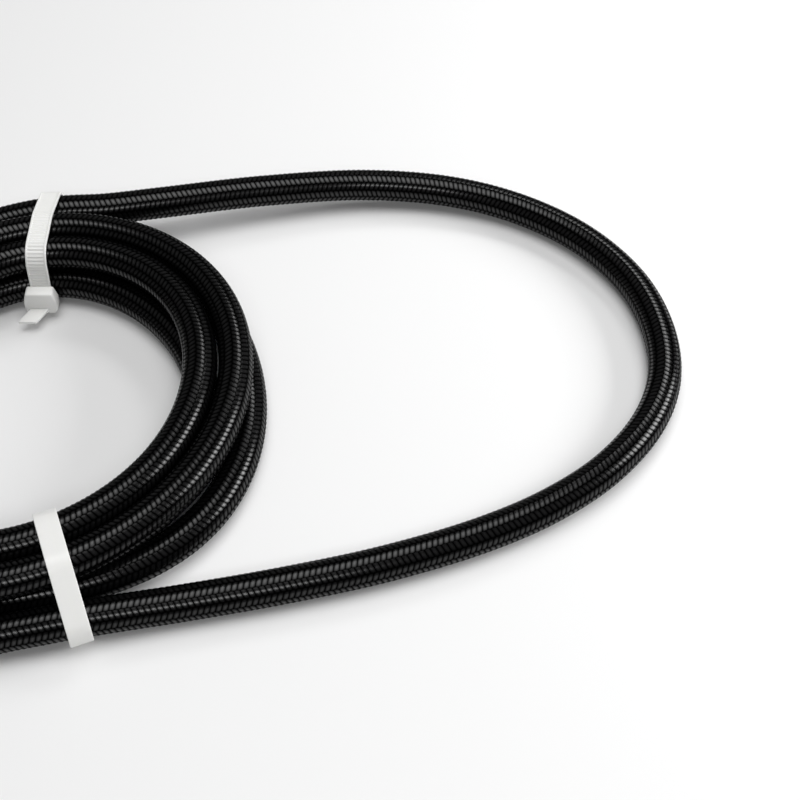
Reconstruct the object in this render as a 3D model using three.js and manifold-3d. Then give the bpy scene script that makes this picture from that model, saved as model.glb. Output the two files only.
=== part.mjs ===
// A length of braided fuel hose, coiled and tied.
// Millimetres, +Z up, lying on the floor at Z = 0 as it does in the photo.
// Three separate pieces: the hose, the rear cable tie and the front cable tie.
import * as THREE from "three";
import { mergeVertices } from "three/addons/utils/BufferGeometryUtils.js";
import Module from "manifold-3d";

const wasm = await Module();
wasm.setup();

// The hose: braided cover on a rubber tube, 3/8 inch class.
const HOSE_D = 14.2; // over the braid
const BORE_D = 8.7; // clear bore
const HOSE_SIDES = 12;
const BORE_SIDES = 8;
const HOSE_STEPS = 280;

// The coil: the upper outer turn is the line all turns are measured from.
// It is a slightly long oval, seen from above.
const COIL_X = -153.0;
const COIL_Y = -14.3;
const COIL_A = 84.1; // half width
const COIL_B = 95.2; // half length
const COIL_LEAN = -0.469; // how far the oval is turned, radians
const LEFT_SQUEEZE = 0.085; // the unseen half is a little tighter
const TURNS = 4;

// On the unseen half the four turns step round each other by a quarter turn.
// These are in hose diameters.
const RING = 0.768; // from a turn to the middle of the four
const RING_OUT = -0.51; // where that middle lies
const LOWEST = 0.52; // height of the lowest turn
const SLIDE = 0.7; // how far out the last turn has slid half way round

// Directions between which they step, and over which they settle, in degrees.
const STEP_FROM = 122;
const STEP_TO = 238;
const SETTLE = 28;
const SLIDE_OVER = 90;

// The hose is stiff, so each place in the coil is eased towards its neighbours.
const LAY_STEP = 10; // degrees
const EASE_PASSES = 6;

// The straight cut ends on the unseen side.
const END_STRAIGHT = 36.0;
const END_A = [-239.6, 4.0, 23.2]; // start of the hose, heading to -Y
const END_B = [-257.2, -46.0, 7.1]; // end of the hose, heading to -Y

// The cable ties: the strap, the head and the cut tail.
const STRAP_W = 9.0;
const STRAP_T = 1.6;
const TIE_GAP = 0.35; // between strap and hose
const HEAD_W = 14.4; // across the strap
const HEAD_L = 11.6; // along the strap
const HEAD_T = 5.6; // out from its back
const HEAD_CLEAR = 0.8; // from the strap's inner face to the head's back
const TAIL_W = 8.0;
const TAIL_OUT = 7.2; // beyond the head's face
const TAIL_DROP = 6; // degrees down from level
const REAR_HEAD_UP = 9.2; // height of the head's middle
const REAR_TAIL_UP = -3.2; // from the head's middle
const REAR_TAIL_SKEW = 0.62; // how far the tail is bent sideways, per length
const FRONT_HEAD_UP = 9.6;
const FRONT_TAIL_UP = -2.6;
const REAR_AT = [-155.5, 78]; // a point of the rear tie's plane
const REAR_TURN = 90; // its outward direction, degrees
const FRONT_AT = [-122.3, -102.4]; // a point of the front tie's plane
const FRONT_TURN = -69.0;

const rad = (d) => (d * Math.PI) / 180;

// The point of the oval in a direction from its middle, and the way out there.
function ovalPoint(deg) {
  const q = rad(deg) - COIL_LEAN;
  const round = 1 / Math.hypot(Math.cos(q) / COIL_A, Math.sin(q) / COIL_B);
  const left = Math.max(-Math.cos(rad(deg)), 0);
  const k = round * (1 - LEFT_SQUEEZE * left * left);
  return [COIL_X + k * Math.cos(rad(deg)), COIL_Y + k * Math.sin(rad(deg))];
}
function oval(deg) {
  const [x, y] = ovalPoint(deg);
  const [ax, ay] = ovalPoint(deg - 0.2);
  const [bx, by] = ovalPoint(deg + 0.2);
  return { x, y, n: new THREE.Vector2(by - ay, ax - bx).normalize() };
}

// A place beside the oval: out and up are in hose diameters.
function beside(deg, out, up) {
  const o = oval(deg);
  return new THREE.Vector3(
    o.x + o.n.x * out * HOSE_D,
    o.y + o.n.y * out * HOSE_D,
    up * HOSE_D
  );
}

// Where each turn lies on the seen half: [direction, out, up].
const SEEN = [
  // upper outer
  [[-115, 0, 1.6], [-90, 0, 1.66], [-70, 0, 1.69], [-50, 0, 1.56], [-25, 0, 1.46],
    [0, 0, 1.47], [25, 0, 1.53], [60, 0, 1.56], [93, 0, 1.69], [120, 0, 1.6]],
  // upper inner
  [[-115, -1.04, 1.6], [-90, -1.04, 1.66], [-70, -1.04, 1.69], [-50, -1.03, 1.6],
    [-25, -1.03, 1.49], [0, -1.03, 1.55], [30, -1.03, 1.52], [60, -1.03, 1.52],
    [93, -1.03, 1.69], [120, -1.03, 1.6]],
  // lower inner
  [[-115, -1.14, 0.54], [-90, -1.36, 0.637], [-70, -1.26, 0.64], [-50, -0.85, 0.56],
    [-25, -0.62, 0.5], [0, -0.88, 0.5], [16, -1.13, 0.5], [32, -1.44, 0.5],
    [49, -1.57, 0.5], [65, -1.5, 0.52], [79, -1.34, 0.6], [93, -1.17, 0.637],
    [105, -1.05, 0.6], [120, -1.03, 0.54]],
  // lower outer
  [[-115, -0.15, 0.54], [-90, -0.36, 0.637], [-72, -0.24, 0.64], [-60, 0.2, 0.6],
    [-50, 0.66, 0.53], [-39, 0.85, 0.5], [-18, 0.67, 0.5], [-4, 0.47, 0.5],
    [8, 0.26, 0.5], [25, 0.06, 0.5], [60, 0, 0.52], [79, 0, 0.6], [93, 0, 0.637],
    [105, 0, 0.6], [120, 0, 0.54]],
];

// From the first cut end into the coil, and out of the coil to the loop.
const LEAD_IN = [[204, 0.46, 1.63], [214, 0.32, 1.62], [226, 0.12, 1.59]];
const LEAD_OUT = [[180, 0.6, 0.52], [192, 0.74, 0.52], [206, 0.93, 0.52], [222, 1.05, 0.52],
  [238, 1.09, 0.52], [252, 1.04, 0.54], [266, 0.94, 0.58], [278, 0.87, 0.63]];

// The stretch pulled out to the right: chosen points, X, Y, Z.
const LOOP = [
  [-119.4, -112.6, 9.15],
  [-100.4, -108.2, 8.0],
  [-81.4, -104.2, 7.2],
  [-43.3, -96.2, 7.1],
  [-5.2, -86.4, 7.1],
  [32.2, -73.0, 7.1],
  [59.0, -59.2, 7.1],
  [82.5, -41.2, 7.1],
  [100.9, -18.0, 7.1],
  [110.0, 6.0, 7.1],
  [110.4, 33.0, 7.1],
  [102.0, 61.5, 7.1],
  [83.0, 88.0, 7.1],
  [56.5, 107.4, 7.4],
  [25.0, 118.4, 8.7],
  [-14.5, 121.0, 10.7],
  [-61.7, 113.4, 14.1],
  [-108.3, 101.8, 17.3],
  [-131.4, 96.4, 18.6],
  [-155.5, 93.2, 19.4],
];

// From the rear tie down to the floor and the second cut end.
const TAIL_RUN = [[106, 1.06, 1.25], [122, 1.22, 0.95], [136, 1.4, 0.68], [148, 1.58, 0.54],
  [159, 1.72, 0.5], [168, 1.8, 0.5]];

// A smooth reading of a table of rows by their first number.
function read(rows, at) {
  let i = 0;
  while (i < rows.length - 2 && rows[i + 1][0] < at) i += 1;
  const a = rows[i];
  const b = rows[i + 1];
  const p = rows[Math.max(i - 1, 0)];
  const q = rows[Math.min(i + 2, rows.length - 1)];
  const h = b[0] - a[0];
  const t = Math.min(Math.max((at - a[0]) / h, 0), 1);
  const t2 = t * t;
  const t3 = t2 * t;
  return [1, 2].map((k) => {
    const ma = ((b[k] - p[k]) / (b[0] - p[0])) * h;
    const mb = ((q[k] - a[k]) / (q[0] - a[0])) * h;
    return (
      (2 * t3 - 3 * t2 + 1) * a[k] +
      (t3 - 2 * t2 + t) * ma +
      (3 * t2 - 2 * t3) * b[k] +
      (t3 - t2) * mb
    );
  });
}

// From 0 to 1 with a soft start and a soft stop.
function ease(t) {
  const u = Math.min(Math.max(t, 0), 1);
  return u * u * (3 - 2 * u);
}

// Out and up of a turn that is stepping round the others, from its slot to the next.
function stepping(slot, share) {
  const corner = (of) => rad(45 + 90 * (of + share));
  const low = Math.max(Math.sin(corner(0)), Math.sin(corner(1)));
  const angle = corner(slot);
  return [RING_OUT + RING * Math.cos(angle), LOWEST + RING * (low + Math.sin(angle))];
}

// The place beside the oval, out and up, at a direction counted on from turn to turn.
// Each turn runs from the middle of the unseen side round to it again, 180 to 540.
function lie(deg) {
  const turn = Math.floor((deg - 180) / 360);
  const d = deg - 360 * turn;
  const step = (at) => ease((at - STEP_FROM) / (STEP_TO - STEP_FROM));
  if (d < STEP_TO) return stepping(turn - 1, step(d));
  if (d > 360 + STEP_FROM) {
    // the last turn slides outward along the floor, to become the loop
    const slid = ease((d - 360 - STEP_FROM) / SLIDE_OVER);
    return turn === TURNS - 1 ? [SLIDE * slid, LOWEST] : stepping(turn, step(d - 360));
  }
  const [out, up] = read(SEEN[turn], d - 360);
  const mix = ease(Math.min(d - STEP_TO, 360 + STEP_FROM - d) / SETTLE);
  const still = stepping(turn, 0);
  return [still[0] + (out - still[0]) * mix, still[1] + (up - still[1]) * mix];
}

// A point of a straight cut end.
function straight(end, share) {
  return new THREE.Vector3(end[0], end[1] + share * END_STRAIGHT, end[2]);
}

function route() {
  let lay = [...LEAD_IN];
  for (let deg = 240; deg < 180 + 360 * TURNS; deg += LAY_STEP) lay.push([deg, ...lie(deg)]);
  lay.push(...LEAD_OUT);
  for (let pass = 0; pass < EASE_PASSES; pass += 1) {
    lay = lay.map((row, i) => {
      if (i === 0 || i === lay.length - 1) return row;
      const mean = (k) => (lay[i - 1][k] + 2 * row[k] + lay[i + 1][k]) / 4;
      return [row[0], mean(1), mean(2)];
    });
  }
  return [
    ...[0, -1 / 3, -2 / 3, -1].map((share) => straight(END_A, share)),
    ...lay.map((row) => beside(...row)),
    ...LOOP.map((p) => new THREE.Vector3(...p)),
    ...TAIL_RUN.map((row) => beside(...row)),
    ...[1, 2 / 3, 1 / 3, 0].map((share) => straight(END_B, share)),
  ];
}

const PATH_SAMPLES = 6000;
const hosePath = new THREE.CatmullRomCurve3(route(), false, "centripetal");
hosePath.arcLengthDivisions = PATH_SAMPLES;

// A ring of points about the middle of a round bar.
function roundOutline(radius, sides) {
  const out = [];
  for (let i = 0; i < sides; i += 1) {
    const a = (2 * Math.PI * i) / sides;
    out.push(new THREE.Vector2(radius * Math.cos(a), radius * Math.sin(a)));
  }
  return out;
}

function hoseGeometry() {
  const wall = new THREE.Shape(roundOutline(HOSE_D / 2, HOSE_SIDES));
  wall.holes.push(new THREE.Path(roundOutline(BORE_D / 2, BORE_SIDES)));
  return new THREE.ExtrudeGeometry(wall, {
    steps: HOSE_STEPS,
    bevelEnabled: false,
    extrudePath: hosePath,
  });
}

// The outline of the strands where they pass through a band of the tie's width.
// The band stands upright; out is its outward direction in plan.
function bandOutline(at, turnDeg) {
  const out = new THREE.Vector2(Math.cos(rad(turnDeg)), Math.sin(rad(turnDeg)));
  const along = new THREE.Vector2(-out.y, out.x);
  const reach = 3 * HOSE_D; // the bundle is less than three hoses to either side
  const roundHose = roundOutline(HOSE_D / 2, 48);
  const points = hosePath.getSpacedPoints(PATH_SAMPLES);
  const section = [];
  for (let i = 1; i < PATH_SAMPLES; i += 1) {
    const p = points[i];
    const dx = p.x - at[0];
    const dy = p.y - at[1];
    const fromBand = Math.abs(dx * along.x + dy * along.y);
    const fromMiddle = Math.abs(dx * out.x + dy * out.y);
    if (fromBand > STRAP_W / 2 + HOSE_D || fromMiddle > reach) continue;
    const dir = points[i + 1].clone().sub(points[i - 1]).normalize();
    const side = new THREE.Vector3(dir.y, -dir.x, 0).normalize();
    const up = side.clone().cross(dir);
    for (const around of roundHose) {
      const q = p.clone().addScaledVector(side, around.x).addScaledVector(up, around.y);
      const qs = (q.x - at[0]) * along.x + (q.y - at[1]) * along.y;
      if (Math.abs(qs) > STRAP_W / 2) continue;
      section.push(new THREE.Vector2((q.x - at[0]) * out.x + (q.y - at[1]) * out.y, q.z));
    }
  }
  return { section, out, along };
}

// The taut line round a set of points, grown outward by some amount.
// It lies flat on the floor where it passes under them.
function taut(section, grow) {
  const line = [];
  for (const way of roundOutline(1, 96)) {
    let best = section[0];
    for (const q of section) if (q.dot(way) > best.dot(way)) best = q;
    const v = best.clone().addScaledVector(way, grow);
    if (v.y < 0.2) v.y = 0;
    const last = line[line.length - 1];
    if (!last || last.distanceTo(v) > 0.05) line.push(v);
  }
  return line;
}

const solid = (geometry) => {
  const g = new THREE.BufferGeometry();
  g.setAttribute("position", geometry.getAttribute("position").clone());
  if (geometry.index) g.setIndex(geometry.index.clone());
  const m = mergeVertices(g, 1e-4);
  return new wasm.Manifold(
    new wasm.Mesh({
      numProp: 3,
      vertProperties: new Float32Array(m.getAttribute("position").array),
      triVerts: new Uint32Array(m.index.array),
    })
  );
};

const drawable = (body) => {
  const m = body.getMesh();
  const g = new THREE.BufferGeometry();
  g.setAttribute("position", new THREE.BufferAttribute(new Float32Array(m.vertProperties), 3));
  g.setIndex(new THREE.BufferAttribute(new Uint32Array(m.triVerts), 1));
  const flat = g.toNonIndexed();
  flat.computeVertexNormals();
  return flat;
};

// The head's outline, along and up, as shares of its half width and half length.
const HEAD_OUTLINE = [
  [-0.8, 1],
  [-1, 0.1],
  [-1, -0.55],
  [-0.84, -1],
  [0.84, -1],
  [1, -0.55],
  [1, 0.1],
  [0.8, 1],
];

// A tie: strap pulled taut round the strands, with its head on the coil's inner side
// and the cut tail standing out of the head.
function tie(at, turnDeg, headUp, tailUp, tailSkew) {
  const { section, out, along } = bandOutline(at, turnDeg);
  const inner = taut(section, TIE_GAP);
  const outer = taut(section, TIE_GAP + STRAP_T);
  const frame = new THREE.Matrix4().makeBasis(
    new THREE.Vector3(out.x, out.y, 0),
    new THREE.Vector3(0, 0, 1),
    new THREE.Vector3(-along.x, -along.y, 0)
  );

  // the strap, drawn as out and up, then thrust along the bundle
  const strapShape = new THREE.Shape(outer);
  strapShape.holes.push(new THREE.Path(inner));
  const strap = new THREE.ExtrudeGeometry(strapShape, { depth: STRAP_W, bevelEnabled: false });
  strap.translate(0, 0, -STRAP_W / 2);

  // the head, drawn as along and up, then thrust inward;
  // its back stands clear of the hose, which curves past both sides of the strap
  const back = Math.min(...inner.map((v) => v.x)) - HEAD_CLEAR;
  const corners = HEAD_OUTLINE.map(
    ([x, y]) => new THREE.Vector2((x * HEAD_W) / 2, (y * HEAD_L) / 2)
  );
  const head = new THREE.ExtrudeGeometry(new THREE.Shape(corners), {
    depth: HEAD_T,
    bevelEnabled: false,
  });
  head.rotateY(-Math.PI / 2);
  head.translate(back, headUp, 0);

  // the tail, from inside the head to its cut end
  const root = HEAD_T / 5;
  const length = TAIL_OUT + root;
  const stub = new THREE.BoxGeometry(length, STRAP_T, TAIL_W);
  stub.translate(-length / 2, 0, 0);
  stub.applyMatrix4(new THREE.Matrix4().makeShear(0, 0, 0, 0, tailSkew, 0));
  stub.rotateZ(rad(TAIL_DROP));
  stub.translate(back - HEAD_T + root, headUp + tailUp, 0);

  const place = (g) => {
    g.applyMatrix4(frame);
    g.translate(at[0], at[1], 0);
    return solid(g);
  };
  return drawable(wasm.Manifold.union([place(strap), place(head), place(stub)]));
}

const braid = new THREE.MeshStandardMaterial({
  name: "black_braid",
  color: 0x141416,
  roughness: 0.45,
  metalness: 0,
});
const nylon = new THREE.MeshStandardMaterial({
  name: "white_nylon",
  color: 0xf2f2ee,
  roughness: 0.4,
  metalness: 0,
});

const pieces = [
  ["hose", hoseGeometry(), braid],
  [
    "cable_tie_rear",
    tie(REAR_AT, REAR_TURN, REAR_HEAD_UP, REAR_TAIL_UP, REAR_TAIL_SKEW),
    nylon,
  ],
  [
    "cable_tie_front",
    tie(FRONT_AT, FRONT_TURN, FRONT_HEAD_UP, FRONT_TAIL_UP, 0),
    nylon,
  ],
];

// The origin goes to the middle of the footprint.
const all = new THREE.Box3();
for (const [, geometry] of pieces) {
  geometry.computeBoundingBox();
  all.union(geometry.boundingBox);
}
const shift = all.getCenter(new THREE.Vector3()).negate();
shift.z = -all.min.z;

const group = new THREE.Group();
for (const [name, geometry, material] of pieces) {
  geometry.translate(shift.x, shift.y, shift.z);
  const mesh = new THREE.Mesh(geometry, material);
  mesh.name = name;
  group.add(mesh);
}

export default group;
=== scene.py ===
import math

import bmesh
import bpy
import numpy as np
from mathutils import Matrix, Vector


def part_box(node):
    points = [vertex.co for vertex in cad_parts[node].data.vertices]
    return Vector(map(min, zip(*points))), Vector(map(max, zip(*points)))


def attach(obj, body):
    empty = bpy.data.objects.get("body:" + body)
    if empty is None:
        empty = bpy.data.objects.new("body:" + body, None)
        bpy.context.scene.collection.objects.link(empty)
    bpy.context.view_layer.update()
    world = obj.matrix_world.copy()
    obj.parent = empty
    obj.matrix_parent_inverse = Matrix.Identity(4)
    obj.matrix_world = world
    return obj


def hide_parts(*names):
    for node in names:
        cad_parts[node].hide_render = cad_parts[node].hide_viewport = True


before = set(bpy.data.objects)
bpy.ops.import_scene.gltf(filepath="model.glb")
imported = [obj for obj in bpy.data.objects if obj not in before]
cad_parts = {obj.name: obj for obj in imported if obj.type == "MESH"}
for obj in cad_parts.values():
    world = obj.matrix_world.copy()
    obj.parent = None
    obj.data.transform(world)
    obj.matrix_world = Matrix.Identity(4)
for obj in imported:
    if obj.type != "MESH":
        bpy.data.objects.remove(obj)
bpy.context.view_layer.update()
scene = bpy.context.scene

# The hose: a rubber tube with a black nylon braid woven on it, cut square at both ends.
# It is wound in four turns, two beside two, and one loop is pulled out to the right.
# First its route, in millimetres: places in the coil are given from an oval round its middle,
# out and up in hose diameters, and the loop and the cut ends are given as points.
MM = 0.001
HOSE_D = 14.2 * MM
BORE_D = 8.7 * MM
COIL_MID = (-153.0, -14.3)
COIL_A = 84.1
COIL_B = 95.2
COIL_LEAN = -0.469
LEFT_SQUEEZE = 0.085
TURNS = 4
RING = 0.768
RING_OUT = -0.51
LOWEST = 0.52
STEP_FROM = 122
STEP_TO = 238
SETTLE = 28
SLIDE = 0.7
SLIDE_OVER = 90
LAY_STEP = 10
EASE_PASSES = 6
PATH_SAMPLES = 40
END_STRAIGHT = 36.0
END_A = (-239.6, 4.0, 23.2)
END_B = (-257.2, -46.0, 7.1)
SEEN = [
    # upper outer turn: direction in degrees, then out and up in hose diameters
    [(-115, 0, 1.6), (-90, 0, 1.66), (-70, 0, 1.69), (-50, 0, 1.56), (-25, 0, 1.46),
     (0, 0, 1.47), (25, 0, 1.53), (60, 0, 1.56), (93, 0, 1.69), (120, 0, 1.6)],
    # upper inner turn
    [(-115, -1.04, 1.6), (-90, -1.04, 1.66), (-70, -1.04, 1.69), (-50, -1.03, 1.6),
     (-25, -1.03, 1.49), (0, -1.03, 1.55), (30, -1.03, 1.52), (60, -1.03, 1.52),
     (93, -1.03, 1.69), (120, -1.03, 1.6)],
    # lower inner turn
    [(-115, -1.14, 0.54), (-90, -1.36, 0.637), (-70, -1.26, 0.64), (-50, -0.85, 0.56),
     (-25, -0.62, 0.5), (0, -0.88, 0.5), (16, -1.13, 0.5), (32, -1.44, 0.5), (49, -1.57, 0.5),
     (65, -1.5, 0.52), (79, -1.34, 0.6), (93, -1.17, 0.637), (105, -1.05, 0.6), (120, -1.03, 0.54)],
    # lower outer turn
    [(-115, -0.15, 0.54), (-90, -0.36, 0.637), (-72, -0.24, 0.64), (-60, 0.2, 0.6),
     (-50, 0.66, 0.53), (-39, 0.85, 0.5), (-18, 0.67, 0.5), (-4, 0.47, 0.5), (8, 0.26, 0.5),
     (25, 0.06, 0.5), (60, 0, 0.52), (79, 0, 0.6), (93, 0, 0.637), (105, 0, 0.6), (120, 0, 0.54)],
]
LEAD_IN = [(204, 0.46, 1.63), (214, 0.32, 1.62), (226, 0.12, 1.59)]
LEAD_OUT = [(180, 0.6, 0.52), (192, 0.74, 0.52), (206, 0.93, 0.52), (222, 1.05, 0.52),
            (238, 1.09, 0.52), (252, 1.04, 0.54), (266, 0.94, 0.58), (278, 0.87, 0.63)]
LOOP = [
    (-119.4, -112.6, 9.15), (-100.4, -108.2, 8.0), (-81.4, -104.2, 7.2), (-43.3, -96.2, 7.1),
    (-5.2, -86.4, 7.1), (32.2, -73.0, 7.1), (59.0, -59.2, 7.1), (82.5, -41.2, 7.1),
    (100.9, -18.0, 7.1), (110.0, 6.0, 7.1), (110.4, 33.0, 7.1), (102.0, 61.5, 7.1),
    (83.0, 88.0, 7.1), (56.5, 107.4, 7.4), (25.0, 118.4, 8.7), (-14.5, 121.0, 10.7),
    (-61.7, 113.4, 14.1), (-108.3, 101.8, 17.3), (-131.4, 96.4, 18.6), (-155.5, 93.2, 19.4),
]
TAIL_RUN = [(106, 1.06, 1.25), (122, 1.22, 0.95), (136, 1.4, 0.68), (148, 1.58, 0.54),
            (159, 1.72, 0.5), (168, 1.8, 0.5)]


def oval_point(deg):
    """The point of the coil's oval in a direction from its middle."""
    a = math.radians(deg)
    q = a - COIL_LEAN
    left = max(-math.cos(a), 0.0)
    k = (1 - LEFT_SQUEEZE * left * left) / math.hypot(math.cos(q) / COIL_A, math.sin(q) / COIL_B)
    return Vector((COIL_MID[0] + k * math.cos(a), COIL_MID[1] + k * math.sin(a)))


def beside(deg, out, up):
    """A place beside the oval, out and up in hose diameters, as a point in millimetres."""
    p = oval_point(deg)
    run = oval_point(deg + 0.2) - oval_point(deg - 0.2)
    normal = Vector((run.y, -run.x)).normalized()
    d = HOSE_D / MM
    return (p.x + normal.x * out * d, p.y + normal.y * out * d, up * d)


def read(rows, at):
    """A smooth reading of a table by its first column."""
    i = 0
    while i < len(rows) - 2 and rows[i + 1][0] < at:
        i += 1
    a, b = rows[i], rows[i + 1]
    p, q = rows[max(i - 1, 0)], rows[min(i + 2, len(rows) - 1)]
    h = b[0] - a[0]
    t = min(max((at - a[0]) / h, 0.0), 1.0)
    out = []
    for k in (1, 2):
        ma = (b[k] - p[k]) / (b[0] - p[0]) * h
        mb = (q[k] - a[k]) / (q[0] - a[0]) * h
        out.append((2 * t**3 - 3 * t**2 + 1) * a[k] + (t**3 - 2 * t**2 + t) * ma
                   + (3 * t**2 - 2 * t**3) * b[k] + (t**3 - t**2) * mb)
    return out


def ease(t):
    """From 0 to 1 with a soft start and a soft stop."""
    u = min(max(t, 0.0), 1.0)
    return u * u * (3 - 2 * u)


def stepping(slot, share):
    """Out and up of a turn that is stepping round the others by a quarter turn."""
    angle = math.radians(45 + 90 * (slot + share))
    low = max(math.sin(math.radians(45 + 90 * share)), math.sin(math.radians(135 + 90 * share)))
    return (RING_OUT + RING * math.cos(angle), LOWEST + RING * (low + math.sin(angle)))


def lie(deg):
    """Out and up at a direction that is counted on from turn to turn."""
    turn = (deg - 180) // 360
    d = deg - 360 * turn
    if d < STEP_TO:
        return stepping(turn - 1, ease((d - STEP_FROM) / (STEP_TO - STEP_FROM)))
    if d > 360 + STEP_FROM:
        if turn == TURNS - 1:
            return (SLIDE * ease((d - 360 - STEP_FROM) / SLIDE_OVER), LOWEST)
        return stepping(turn, ease((d - 360 - STEP_FROM) / (STEP_TO - STEP_FROM)))
    out, up = read(SEEN[turn], d - 360)
    mix = ease(min(d - STEP_TO, 360 + STEP_FROM - d) / SETTLE)
    still = stepping(turn, 0.0)
    return (still[0] + (out - still[0]) * mix, still[1] + (up - still[1]) * mix)


def straight(end, share):
    """A point of a straight cut end."""
    return (end[0], end[1] + share * END_STRAIGHT, end[2])


lay = [
    *LEAD_IN,
    *[(deg, *lie(deg)) for deg in range(240, 180 + 360 * TURNS, LAY_STEP)],
    *LEAD_OUT,
]
for _ in range(EASE_PASSES):
    lay = [lay[0]] + [
        (b[0], (a[1] + 2 * b[1] + c[1]) / 4, (a[2] + 2 * b[2] + c[2]) / 4)
        for a, b, c in zip(lay, lay[1:], lay[2:])
    ] + [lay[-1]]
knots = np.array(
    [straight(END_A, -i / 3) for i in range(4)]
    + [beside(*row) for row in lay]
    + LOOP
    + [beside(*row) for row in TAIL_RUN]
    + [straight(END_B, i / 3) for i in (3, 2, 1, 0)]
) * MM


def smooth_line(points, per_span):
    """A centripetal Catmull-Rom line through the points."""
    ends = np.vstack([2 * points[0] - points[1], points, 2 * points[-1] - points[-2]])
    line = []
    for a, b, c, d in zip(ends, ends[1:], ends[2:], ends[3:]):
        t1 = max(np.linalg.norm(b - a), 1e-9) ** 0.5
        t2 = t1 + np.linalg.norm(c - b) ** 0.5
        t3 = t2 + max(np.linalg.norm(d - c), 1e-9) ** 0.5
        for t in np.linspace(t1, t2, per_span, endpoint=False):
            ab = a + (b - a) * t / t1
            bc = b + (c - b) * (t - t1) / (t2 - t1)
            cd = c + (d - c) * (t - t2) / (t3 - t2)
            abc = ab + (bc - ab) * t / t2
            bcd = bc + (cd - bc) * (t - t1) / (t3 - t1)
            line.append(abc + (bcd - abc) * (t - t1) / (t2 - t1))
    return np.array(line + [points[-1]])


def evenly(line, count):
    """The same line as count points at even distances, and its length."""
    at = np.concatenate([[0.0], np.cumsum(np.linalg.norm(np.diff(line, axis=0), axis=1))])
    wanted = np.linspace(0.0, at[-1], count)
    return np.column_stack([np.interp(wanted, at, line[:, k]) for k in range(3)]), at[-1]


# the route is moved so that the hose lies in the place of its solid
low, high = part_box("hose")
fine = smooth_line(knots, PATH_SAMPLES)
middle = (fine.min(axis=0) + fine.max(axis=0)) / 2
SHIFT = np.array([(low[0] + high[0]) / 2 - middle[0], (low[1] + high[1]) / 2 - middle[1], 0.0])
fine = fine + SHIFT
LENGTH = evenly(fine, 2)[1]

# Then its braid: twelve rows of floats run along it, leaning one way and the other in turn
# by a share of their pitch, and each float stands a little out of the surface.
ROWS = 12
PER_ROW = 3
COLUMNS = ROWS * PER_ROW
ROW_TURN = math.radians(7.5)
FLOAT_PITCH = 2.25 * MM
FLOAT_LEAN = 0.55
FLOAT_RISE = 0.3 * MM
VALLEY = 0.6
END_RINGS = 6
BORE_SIDES = 8
BORE_RINGS = 160
pitches = round(LENGTH / FLOAT_PITCH)
rings = 2 * pitches
steps = 4 * pitches
route, LENGTH = evenly(fine, steps + 1)
along = np.gradient(route, axis=0)
along /= np.linalg.norm(along, axis=1)[:, None]
side = np.cross(along, (0.0, 0.0, 1.0))
side /= np.linalg.norm(side, axis=1)[:, None]
upward = np.cross(side, along)


def on_hose(share, angle, radius):
    """A point at a share of the hose's length, round it by an angle, at a radius."""
    at = min(max(share, 0.0), 1.0) * steps
    i = min(int(at), steps - 1)
    f = at - i
    p = route[i] * (1 - f) + route[i + 1] * f
    s = side[i] * (1 - f) + side[i + 1] * f
    u = upward[i] * (1 - f) + upward[i + 1] * f
    return p + (s * math.cos(angle) + u * math.sin(angle)) * radius


def hose_mesh():
    """One closed body: the braid outside, the bore inside, and a ring at each cut end."""
    bm = bmesh.new()
    bm.loops.layers.uv.new("UVMap")
    bmesh.ops.create_grid(bm, x_segments=COLUMNS, y_segments=rings, size=0.5, calc_uvs=True)
    for v in bm.verts:
        column = round((v.co.x + 0.5) * COLUMNS)
        ring = round((v.co.y + 0.5) * rings)
        row, step = divmod(column, PER_ROW)
        leaning = step / PER_ROW - 0.5 if row % 2 == 0 else 0.5 - step / PER_ROW
        crest = (ring + row) % 2 == 0
        low = VALLEY if step == 0 else 0.0 if crest else 1.0
        straighten = min(min(ring, rings - ring) / END_RINGS, 1.0)
        share = (ring / 2 + FLOAT_LEAN * leaning * straighten) / pitches
        angle = 2 * math.pi * column / COLUMNS + ROW_TURN
        v.co = on_hose(share, angle, HOSE_D / 2 - FLOAT_RISE * low)
    bmesh.ops.remove_doubles(bm, verts=bm.verts, dist=1e-7)
    braid_faces = set(bm.faces)
    for f in braid_faces:
        f.smooth = True
    bore = bmesh.ops.create_grid(bm, x_segments=BORE_SIDES, y_segments=BORE_RINGS, size=0.5)
    for v in bore["verts"]:
        v.co = on_hose(v.co.y + 0.5, -2 * math.pi * (v.co.x + 0.5), BORE_D / 2)
    bmesh.ops.remove_doubles(bm, verts=bore["verts"], dist=1e-7)
    open_edges = [e for e in bm.edges if e.is_boundary]
    for end in (route[0], route[-1]):
        near = [e for e in open_edges if (e.verts[0].co - Vector(end)).length < HOSE_D]
        bmesh.ops.bridge_loops(bm, edges=near)
    for f in bm.faces:
        if f not in braid_faces:
            f.material_index = 1
    bmesh.ops.recalc_face_normals(bm, faces=bm.faces)
    mesh = bpy.data.meshes.new("hose_braided")
    bm.to_mesh(mesh)
    bm.free()
    return mesh


hose = bpy.data.objects.new("hose_braided", hose_mesh())
scene.collection.objects.link(hose)


class Socket:
    """Wraps a shader socket, so that maths on it reads as maths."""

    def __init__(self, tree, link):
        self.tree = tree
        self.link = link

    def math(self, operation, *others, swap=False):
        values = [self, *others]
        if swap:
            values.reverse()
        return Shader.add_to(self.tree, "ShaderNodeMath", {"operation": operation},
                             dict(enumerate(values)))

    def __add__(self, other):
        return self.math("ADD", other)

    def __mul__(self, other):
        return self.math("MULTIPLY", other)

    def __sub__(self, other):
        return self.math("SUBTRACT", other)

    def __rsub__(self, other):
        return self.math("SUBTRACT", other, swap=True)

    def __pow__(self, other):
        return self.math("POWER", other)

    __radd__ = __add__
    __rmul__ = __mul__


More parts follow.
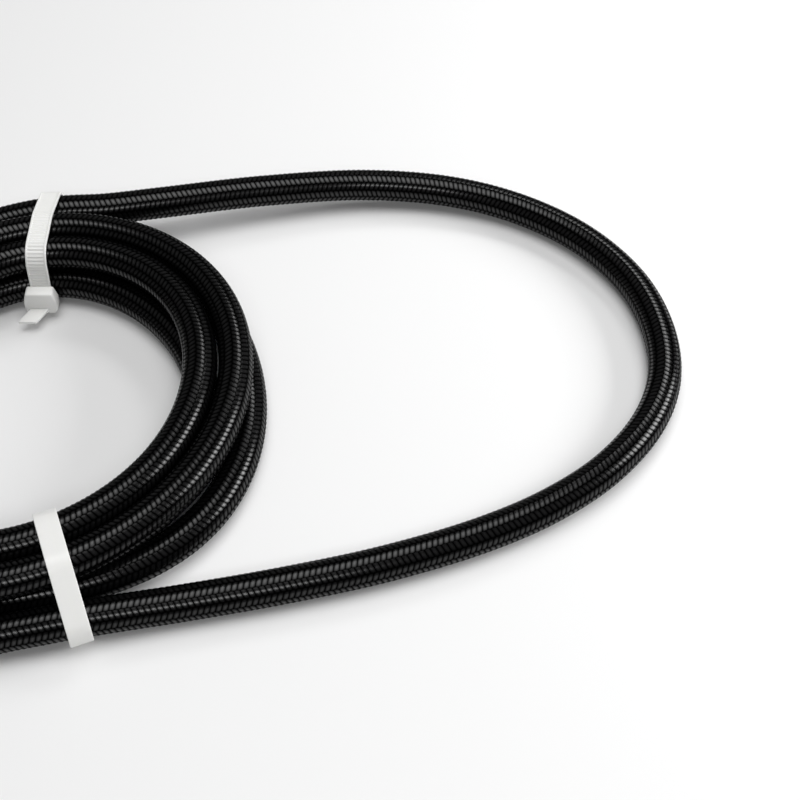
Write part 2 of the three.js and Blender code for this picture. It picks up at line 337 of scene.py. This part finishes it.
class Shader:
    """A material whose nodes are added one call at a time."""

    def __init__(self, name):
        self.material = bpy.data.materials.new(name)
        self.material.use_nodes = True
        self.tree = self.material.node_tree
        self.surface = self.tree.nodes["Principled BSDF"]

    @staticmethod
    def add_to(tree, kind, settings, sockets, output=0):
        node = tree.nodes.new(kind)
        for key, value in settings.items():
            setattr(node, key, value)
        for key, value in sockets.items():
            if isinstance(value, Socket):
                tree.links.new(value.link, node.inputs[key])
            else:
                node.inputs[key].default_value = value
        return Socket(tree, node.outputs[output])

    def add(self, kind, settings=None, sockets=None, output=0):
        return self.add_to(self.tree, kind, settings or {}, sockets or {}, output)

    def put(self, **sockets):
        """Sets or links sockets of the surface: Base_Color for Base Color."""
        for key, value in sockets.items():
            socket = self.surface.inputs[key.replace("_", " ")]
            if isinstance(value, Socket):
                self.tree.links.new(value.link, socket)
            else:
                socket.default_value = value


braid = Shader("black_nylon_braid")
uv = braid.add("ShaderNodeUVMap", {"uv_map": "UVMap"})
around = braid.add("ShaderNodeSeparateXYZ", {}, {"Vector": uv}) * ROWS
lengthwise = braid.add("ShaderNodeSeparateXYZ", {}, {"Vector": uv}, output=1) * pitches
odd = around.math("FLOOR").math("MODULO", 2.0)
# 0 in the middle of a float and 1 at its sides and at its ends
to_side = 2 * ((lengthwise + odd * 0.5 + 0.5).math("FRACT") - 0.5).math("ABSOLUTE")
to_end = 2 * (around.math("FRACT") - 0.5).math("ABSOLUTE")
crown = (1 - to_side ** 2) * (1 - to_end ** 3)
FILAMENTS = 7
FILAMENT_RISE = 0.25
CROWN_RISE = 0.3 * MM
filament = 2 * ((lengthwise * FILAMENTS).math("FRACT") - 0.5).math("ABSOLUTE")
# The base colour holds painted shade: pure black in the grooves at the floats' sides and ends,
# where the crown is low, and near black on the crowns.
braid.put(
    Base_Color=braid.add("ShaderNodeMix", {"data_type": "RGBA"}, {
        "Factor": crown,
        "A": (0.0, 0.0, 0.0, 1),
        "B": (0.004, 0.004, 0.0042, 1),
    }, output=2),
    Roughness=0.6,
    Specular_IOR_Level=0.0,
    Coat_Weight=(1 - to_side ** 2) ** 1.7 * (1 - to_end ** 2),
    Coat_Roughness=0.22,
    Normal=braid.add("ShaderNodeBump", {}, {
        "Strength": 1.0,
        "Distance": CROWN_RISE,
        "Height": crown + filament * FILAMENT_RISE,
    }),
)
hose.data.materials.append(braid.material)
rubber = Shader("black_rubber")
rubber.put(Base_Color=(0.012, 0.012, 0.012, 1), Roughness=0.6)
hose.data.materials.append(rubber.material)
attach(hose, "root")
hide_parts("hose")

# The cable ties: white nylon, each moulded in one piece with its head, pulled taut round the
# strands and cut short. The rear one's toothed face, with a rim along each side, is outward,
# and the front one's smooth face.
STRAP_W = 8.8 * MM
STRAP_T = 1.3 * MM
TIE_GAP = 0.25 * MM
RIM_W = 0.9 * MM
RIM_RISE = 0.3 * MM
RIM_SLOPE = 0.15 * MM
EDGE = 0.2 * MM
RIB_PITCH = 1.4 * MM
SKIN_POINTS = 48
TAUT_WAYS = 180
SHORTEST = 0.02 * MM
TURN_PASSES = 3
HEAD_W = 14.4 * MM
HEAD_L = 11.6 * MM
HEAD_T = 5.6 * MM
HEAD_CLEAR = 0.8 * MM
HEAD_ROUND = 0.8 * MM
TAIL_W = 8.0 * MM
TAIL_OUT = 7.2 * MM
TAIL_DROP = math.radians(6)
TAIL_ROUND = 0.25 * MM
SHARP = math.radians(35)
HEAD_OUTLINE = [(-0.8, 1), (-1, 0.1), (-1, -0.55), (-0.84, -1),
                (0.84, -1), (1, -0.55), (1, 0.1), (0.8, 1)]


def taut_line(at, out, run):
    """The taut line round the strands in a band across them: out and up, at even steps."""
    reach = 3 * HOSE_D
    away = route[:, :2] - at
    near = (abs(away @ run) < STRAP_W / 2 + HOSE_D) & (abs(away @ out) < reach)
    angles = np.linspace(0, 2 * math.pi, SKIN_POINTS, endpoint=False)[None, :, None]
    ring = np.cos(angles) * side[near][:, None] + np.sin(angles) * upward[near][:, None]
    skin = (route[near][:, None] + HOSE_D / 2 * ring).reshape(-1, 3)
    skin = skin[abs((skin[:, :2] - at) @ run) < STRAP_W / 2]
    flat = np.column_stack([(skin[:, :2] - at) @ out, skin[:, 2]])
    ways = np.linspace(0, 2 * math.pi, TAUT_WAYS, endpoint=False)
    line = []
    for way in np.column_stack([np.cos(ways), np.sin(ways)]):
        point = flat[np.argmax(flat @ way)] + way * TIE_GAP
        if not line or np.linalg.norm(point - line[-1]) > SHORTEST:
            line.append(point)
    line.append(line[0])
    flat_line = np.column_stack([line, np.zeros(len(line))])
    count = 2 * round(evenly(flat_line, 2)[1] / RIB_PITCH)
    return evenly(flat_line, count + 1)[0][:-1, :2]


def strap_mesh(bm, line, ribbed, place):
    """The strap: its cross-section swept round the taut line."""
    half = STRAP_W / 2
    inset = half - RIM_W
    low = STRAP_T - RIM_RISE if ribbed else STRAP_T
    section = [
        (-half, EDGE), (-half, STRAP_T - EDGE), (-half + EDGE, STRAP_T),
        (-inset - RIM_SLOPE, STRAP_T), (-inset, low), (inset, low), (inset + RIM_SLOPE, STRAP_T),
        (half - EDGE, STRAP_T), (half, STRAP_T - EDGE), (half, EDGE),
        (half - EDGE, 0.0), (-half + EDGE, 0.0),
    ]
    count = len(line)
    ahead = np.roll(line, -1, axis=0) - np.roll(line, 1, axis=0)
    normal = np.column_stack([ahead[:, 1], -ahead[:, 0]])
    normal /= np.linalg.norm(normal, axis=1)[:, None]
    for _ in range(TURN_PASSES):
        normal = np.roll(normal, 1, axis=0) + 2 * normal + np.roll(normal, -1, axis=0)
        normal /= np.linalg.norm(normal, axis=1)[:, None]
    made = bmesh.ops.create_grid(bm, x_segments=len(section), y_segments=count, size=0.5)
    for v in made["verts"]:
        k = round((v.co.x + 0.5) * len(section)) % len(section)
        i = round((v.co.y + 0.5) * count) % count
        across, thick = section[k]
        if ribbed and k in (4, 5) and i % 2 == 0:
            thick += RIM_RISE
        o, z = line[i] + normal[i] * thick
        v.co = place(o, max(z, 0.0), across)
    bmesh.ops.remove_doubles(bm, verts=made["verts"], dist=1e-7)


def block(bm, corners, depth, bevel, place):
    """A block with its outline drawn across and up, pulled inward, its edges rounded."""
    face = bm.faces.new([bm.verts.new((0.0, y, x)) for x, y in corners])
    made = bmesh.ops.extrude_face_region(bm, geom=[face])
    top = [g for g in made["geom"] if isinstance(g, bmesh.types.BMVert)]
    bmesh.ops.translate(bm, verts=top, vec=(-depth, 0, 0))
    verts = list(face.verts) + top
    edges = list({e for v in verts for e in v.link_edges})
    done = bmesh.ops.bevel(bm, geom=edges, offset=bevel, offset_type="OFFSET", segments=3,
                           profile=0.5, affect="EDGES", material=-1)
    for v in {v for f in done["faces"] for v in f.verts} | {v for v in verts if v.is_valid}:
        v.co = place(*v.co)


def tie(name, at, turn, head_up, tail_up, tail_skew, ribbed):
    """One cable tie, in the place of its CAD node."""
    at = np.array(at) * MM + SHIFT[:2]
    out = np.array([math.cos(math.radians(turn)), math.sin(math.radians(turn))])
    run = np.array([-out[1], out[0]])
    line = taut_line(at, out, run)
    back = line[:, 0].min() - HEAD_CLEAR

    def put(o, z, s):
        x, y = at + out * o - run * s
        return (x, y, z)

    bm = bmesh.new()
    strap_mesh(bm, line, ribbed, put)
    corners = [(x * HEAD_W / 2, y * HEAD_L / 2) for x, y in HEAD_OUTLINE]
    block(bm, corners, HEAD_T, HEAD_ROUND, lambda o, z, s: put(back + o, head_up * MM + z, s))
    half = TAIL_W / 2
    root = HEAD_T / 5

    def put_tail(o, z, s):
        down = o * math.cos(TAIL_DROP) - z * math.sin(TAIL_DROP)
        rise = o * math.sin(TAIL_DROP) + z * math.cos(TAIL_DROP)
        return put(back - HEAD_T + root + down, (head_up + tail_up) * MM + rise,
                   s + tail_skew * o)

    thin = STRAP_T / 2
    strip = [(-half, -thin), (half, -thin), (half, thin), (-half, thin)]
    block(bm, strip, TAIL_OUT + root, TAIL_ROUND, put_tail)
    bmesh.ops.recalc_face_normals(bm, faces=bm.faces)
    for f in bm.faces:
        f.smooth = True
    mesh = bpy.data.meshes.new(name)
    bm.to_mesh(mesh)
    bm.free()
    obj = bpy.data.objects.new(name, mesh)
    scene.collection.objects.link(obj)
    mesh.set_sharp_from_angle(angle=SHARP)
    mesh.materials.append(nylon.material)
    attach(obj, "root")
    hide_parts(name.removesuffix("_moulded"))


nylon = Shader("white_nylon")
nylon.put(
    Base_Color=(0.86, 0.86, 0.84, 1),
    Roughness=0.35,
    Subsurface_Weight=0.35,
    Subsurface_Radius=(0.8, 0.8, 0.75),
    Subsurface_Scale=1.5 * MM,
)
tie("cable_tie_rear_moulded", at=(-155.5, 78.0), turn=90.0,
    head_up=9.2, tail_up=-3.2, tail_skew=0.62, ribbed=True)
tie("cable_tie_front_moulded", at=(-122.3, -102.4), turn=-69.0,
    head_up=9.6, tail_up=-2.6, tail_skew=0.0, ribbed=False)

# The floor: plain white paper that the hose lies on. It is left out of the body,
# so that it is no part of the object.
FLOOR_HALF = 4.0
floor_mesh = bpy.data.meshes.new("floor")
bm = bmesh.new()
bmesh.ops.create_grid(bm, x_segments=1, y_segments=1, size=FLOOR_HALF)
bm.to_mesh(floor_mesh)
bm.free()
floor = bpy.data.objects.new("floor", floor_mesh)
scene.collection.objects.link(floor)
paper = Shader("white_paper")
paper.put(Base_Color=(0.9, 0.9, 0.9, 1), Roughness=0.7)
floor_mesh.materials.append(paper.material)

# The light and the view: soft lights at the right, behind, in front and overhead, and a
# camera that looks down at the hose as in the photograph, which cuts the coil off on the left.
PITCH_DOWN = math.radians(50.0)
DISTANCE = 632.4 * MM
SENSOR = 36.0
FOCAL = 1515.4 / 800 * SENSOR
aim = Vector((SHIFT[0], SHIFT[1], 0.0))
camera = bpy.data.objects.new("camera", bpy.data.cameras.new("camera"))
camera.data.sensor_width = SENSOR
camera.data.lens = FOCAL
camera.location = aim + DISTANCE * Vector((0.0, -math.cos(PITCH_DOWN), math.sin(PITCH_DOWN)))
camera.rotation_euler = (math.pi / 2 - PITCH_DOWN, 0.0, 0.0)
scene.collection.objects.link(camera)
scene.camera = camera


def area_light(name, place, size, power):
    """A soft light that faces the middle of the floor."""
    lamp = bpy.data.lights.new(name, "AREA")
    lamp.shape = "RECTANGLE"
    lamp.size, lamp.size_y = size
    lamp.energy = power
    obj = bpy.data.objects.new(name, lamp)
    obj.location = place
    obj.rotation_euler = (-obj.location).to_track_quat("-Z", "Y").to_euler()
    scene.collection.objects.link(obj)


area_light("right_window", (1.0, 0.15, 0.45), (0.6, 0.35), 7.2)
area_light("back_soft_box", (0.45, 0.8, 0.85), (0.5, 0.2), 2.4)
area_light("front_soft_box", (0.1, -0.95, 0.95), (0.55, 0.22), 2.7)
area_light("ceiling", (0.1, 0.1, 1.7), (1.3, 1.3), 16.0)
scene.world = bpy.data.worlds.new("dim_room")
scene.world.use_nodes = True
backdrop = scene.world.node_tree.nodes["Background"]
backdrop.inputs["Color"].default_value = (1, 1, 1, 1)
backdrop.inputs["Strength"].default_value = 0.13
scene.view_settings.view_transform = "Standard"
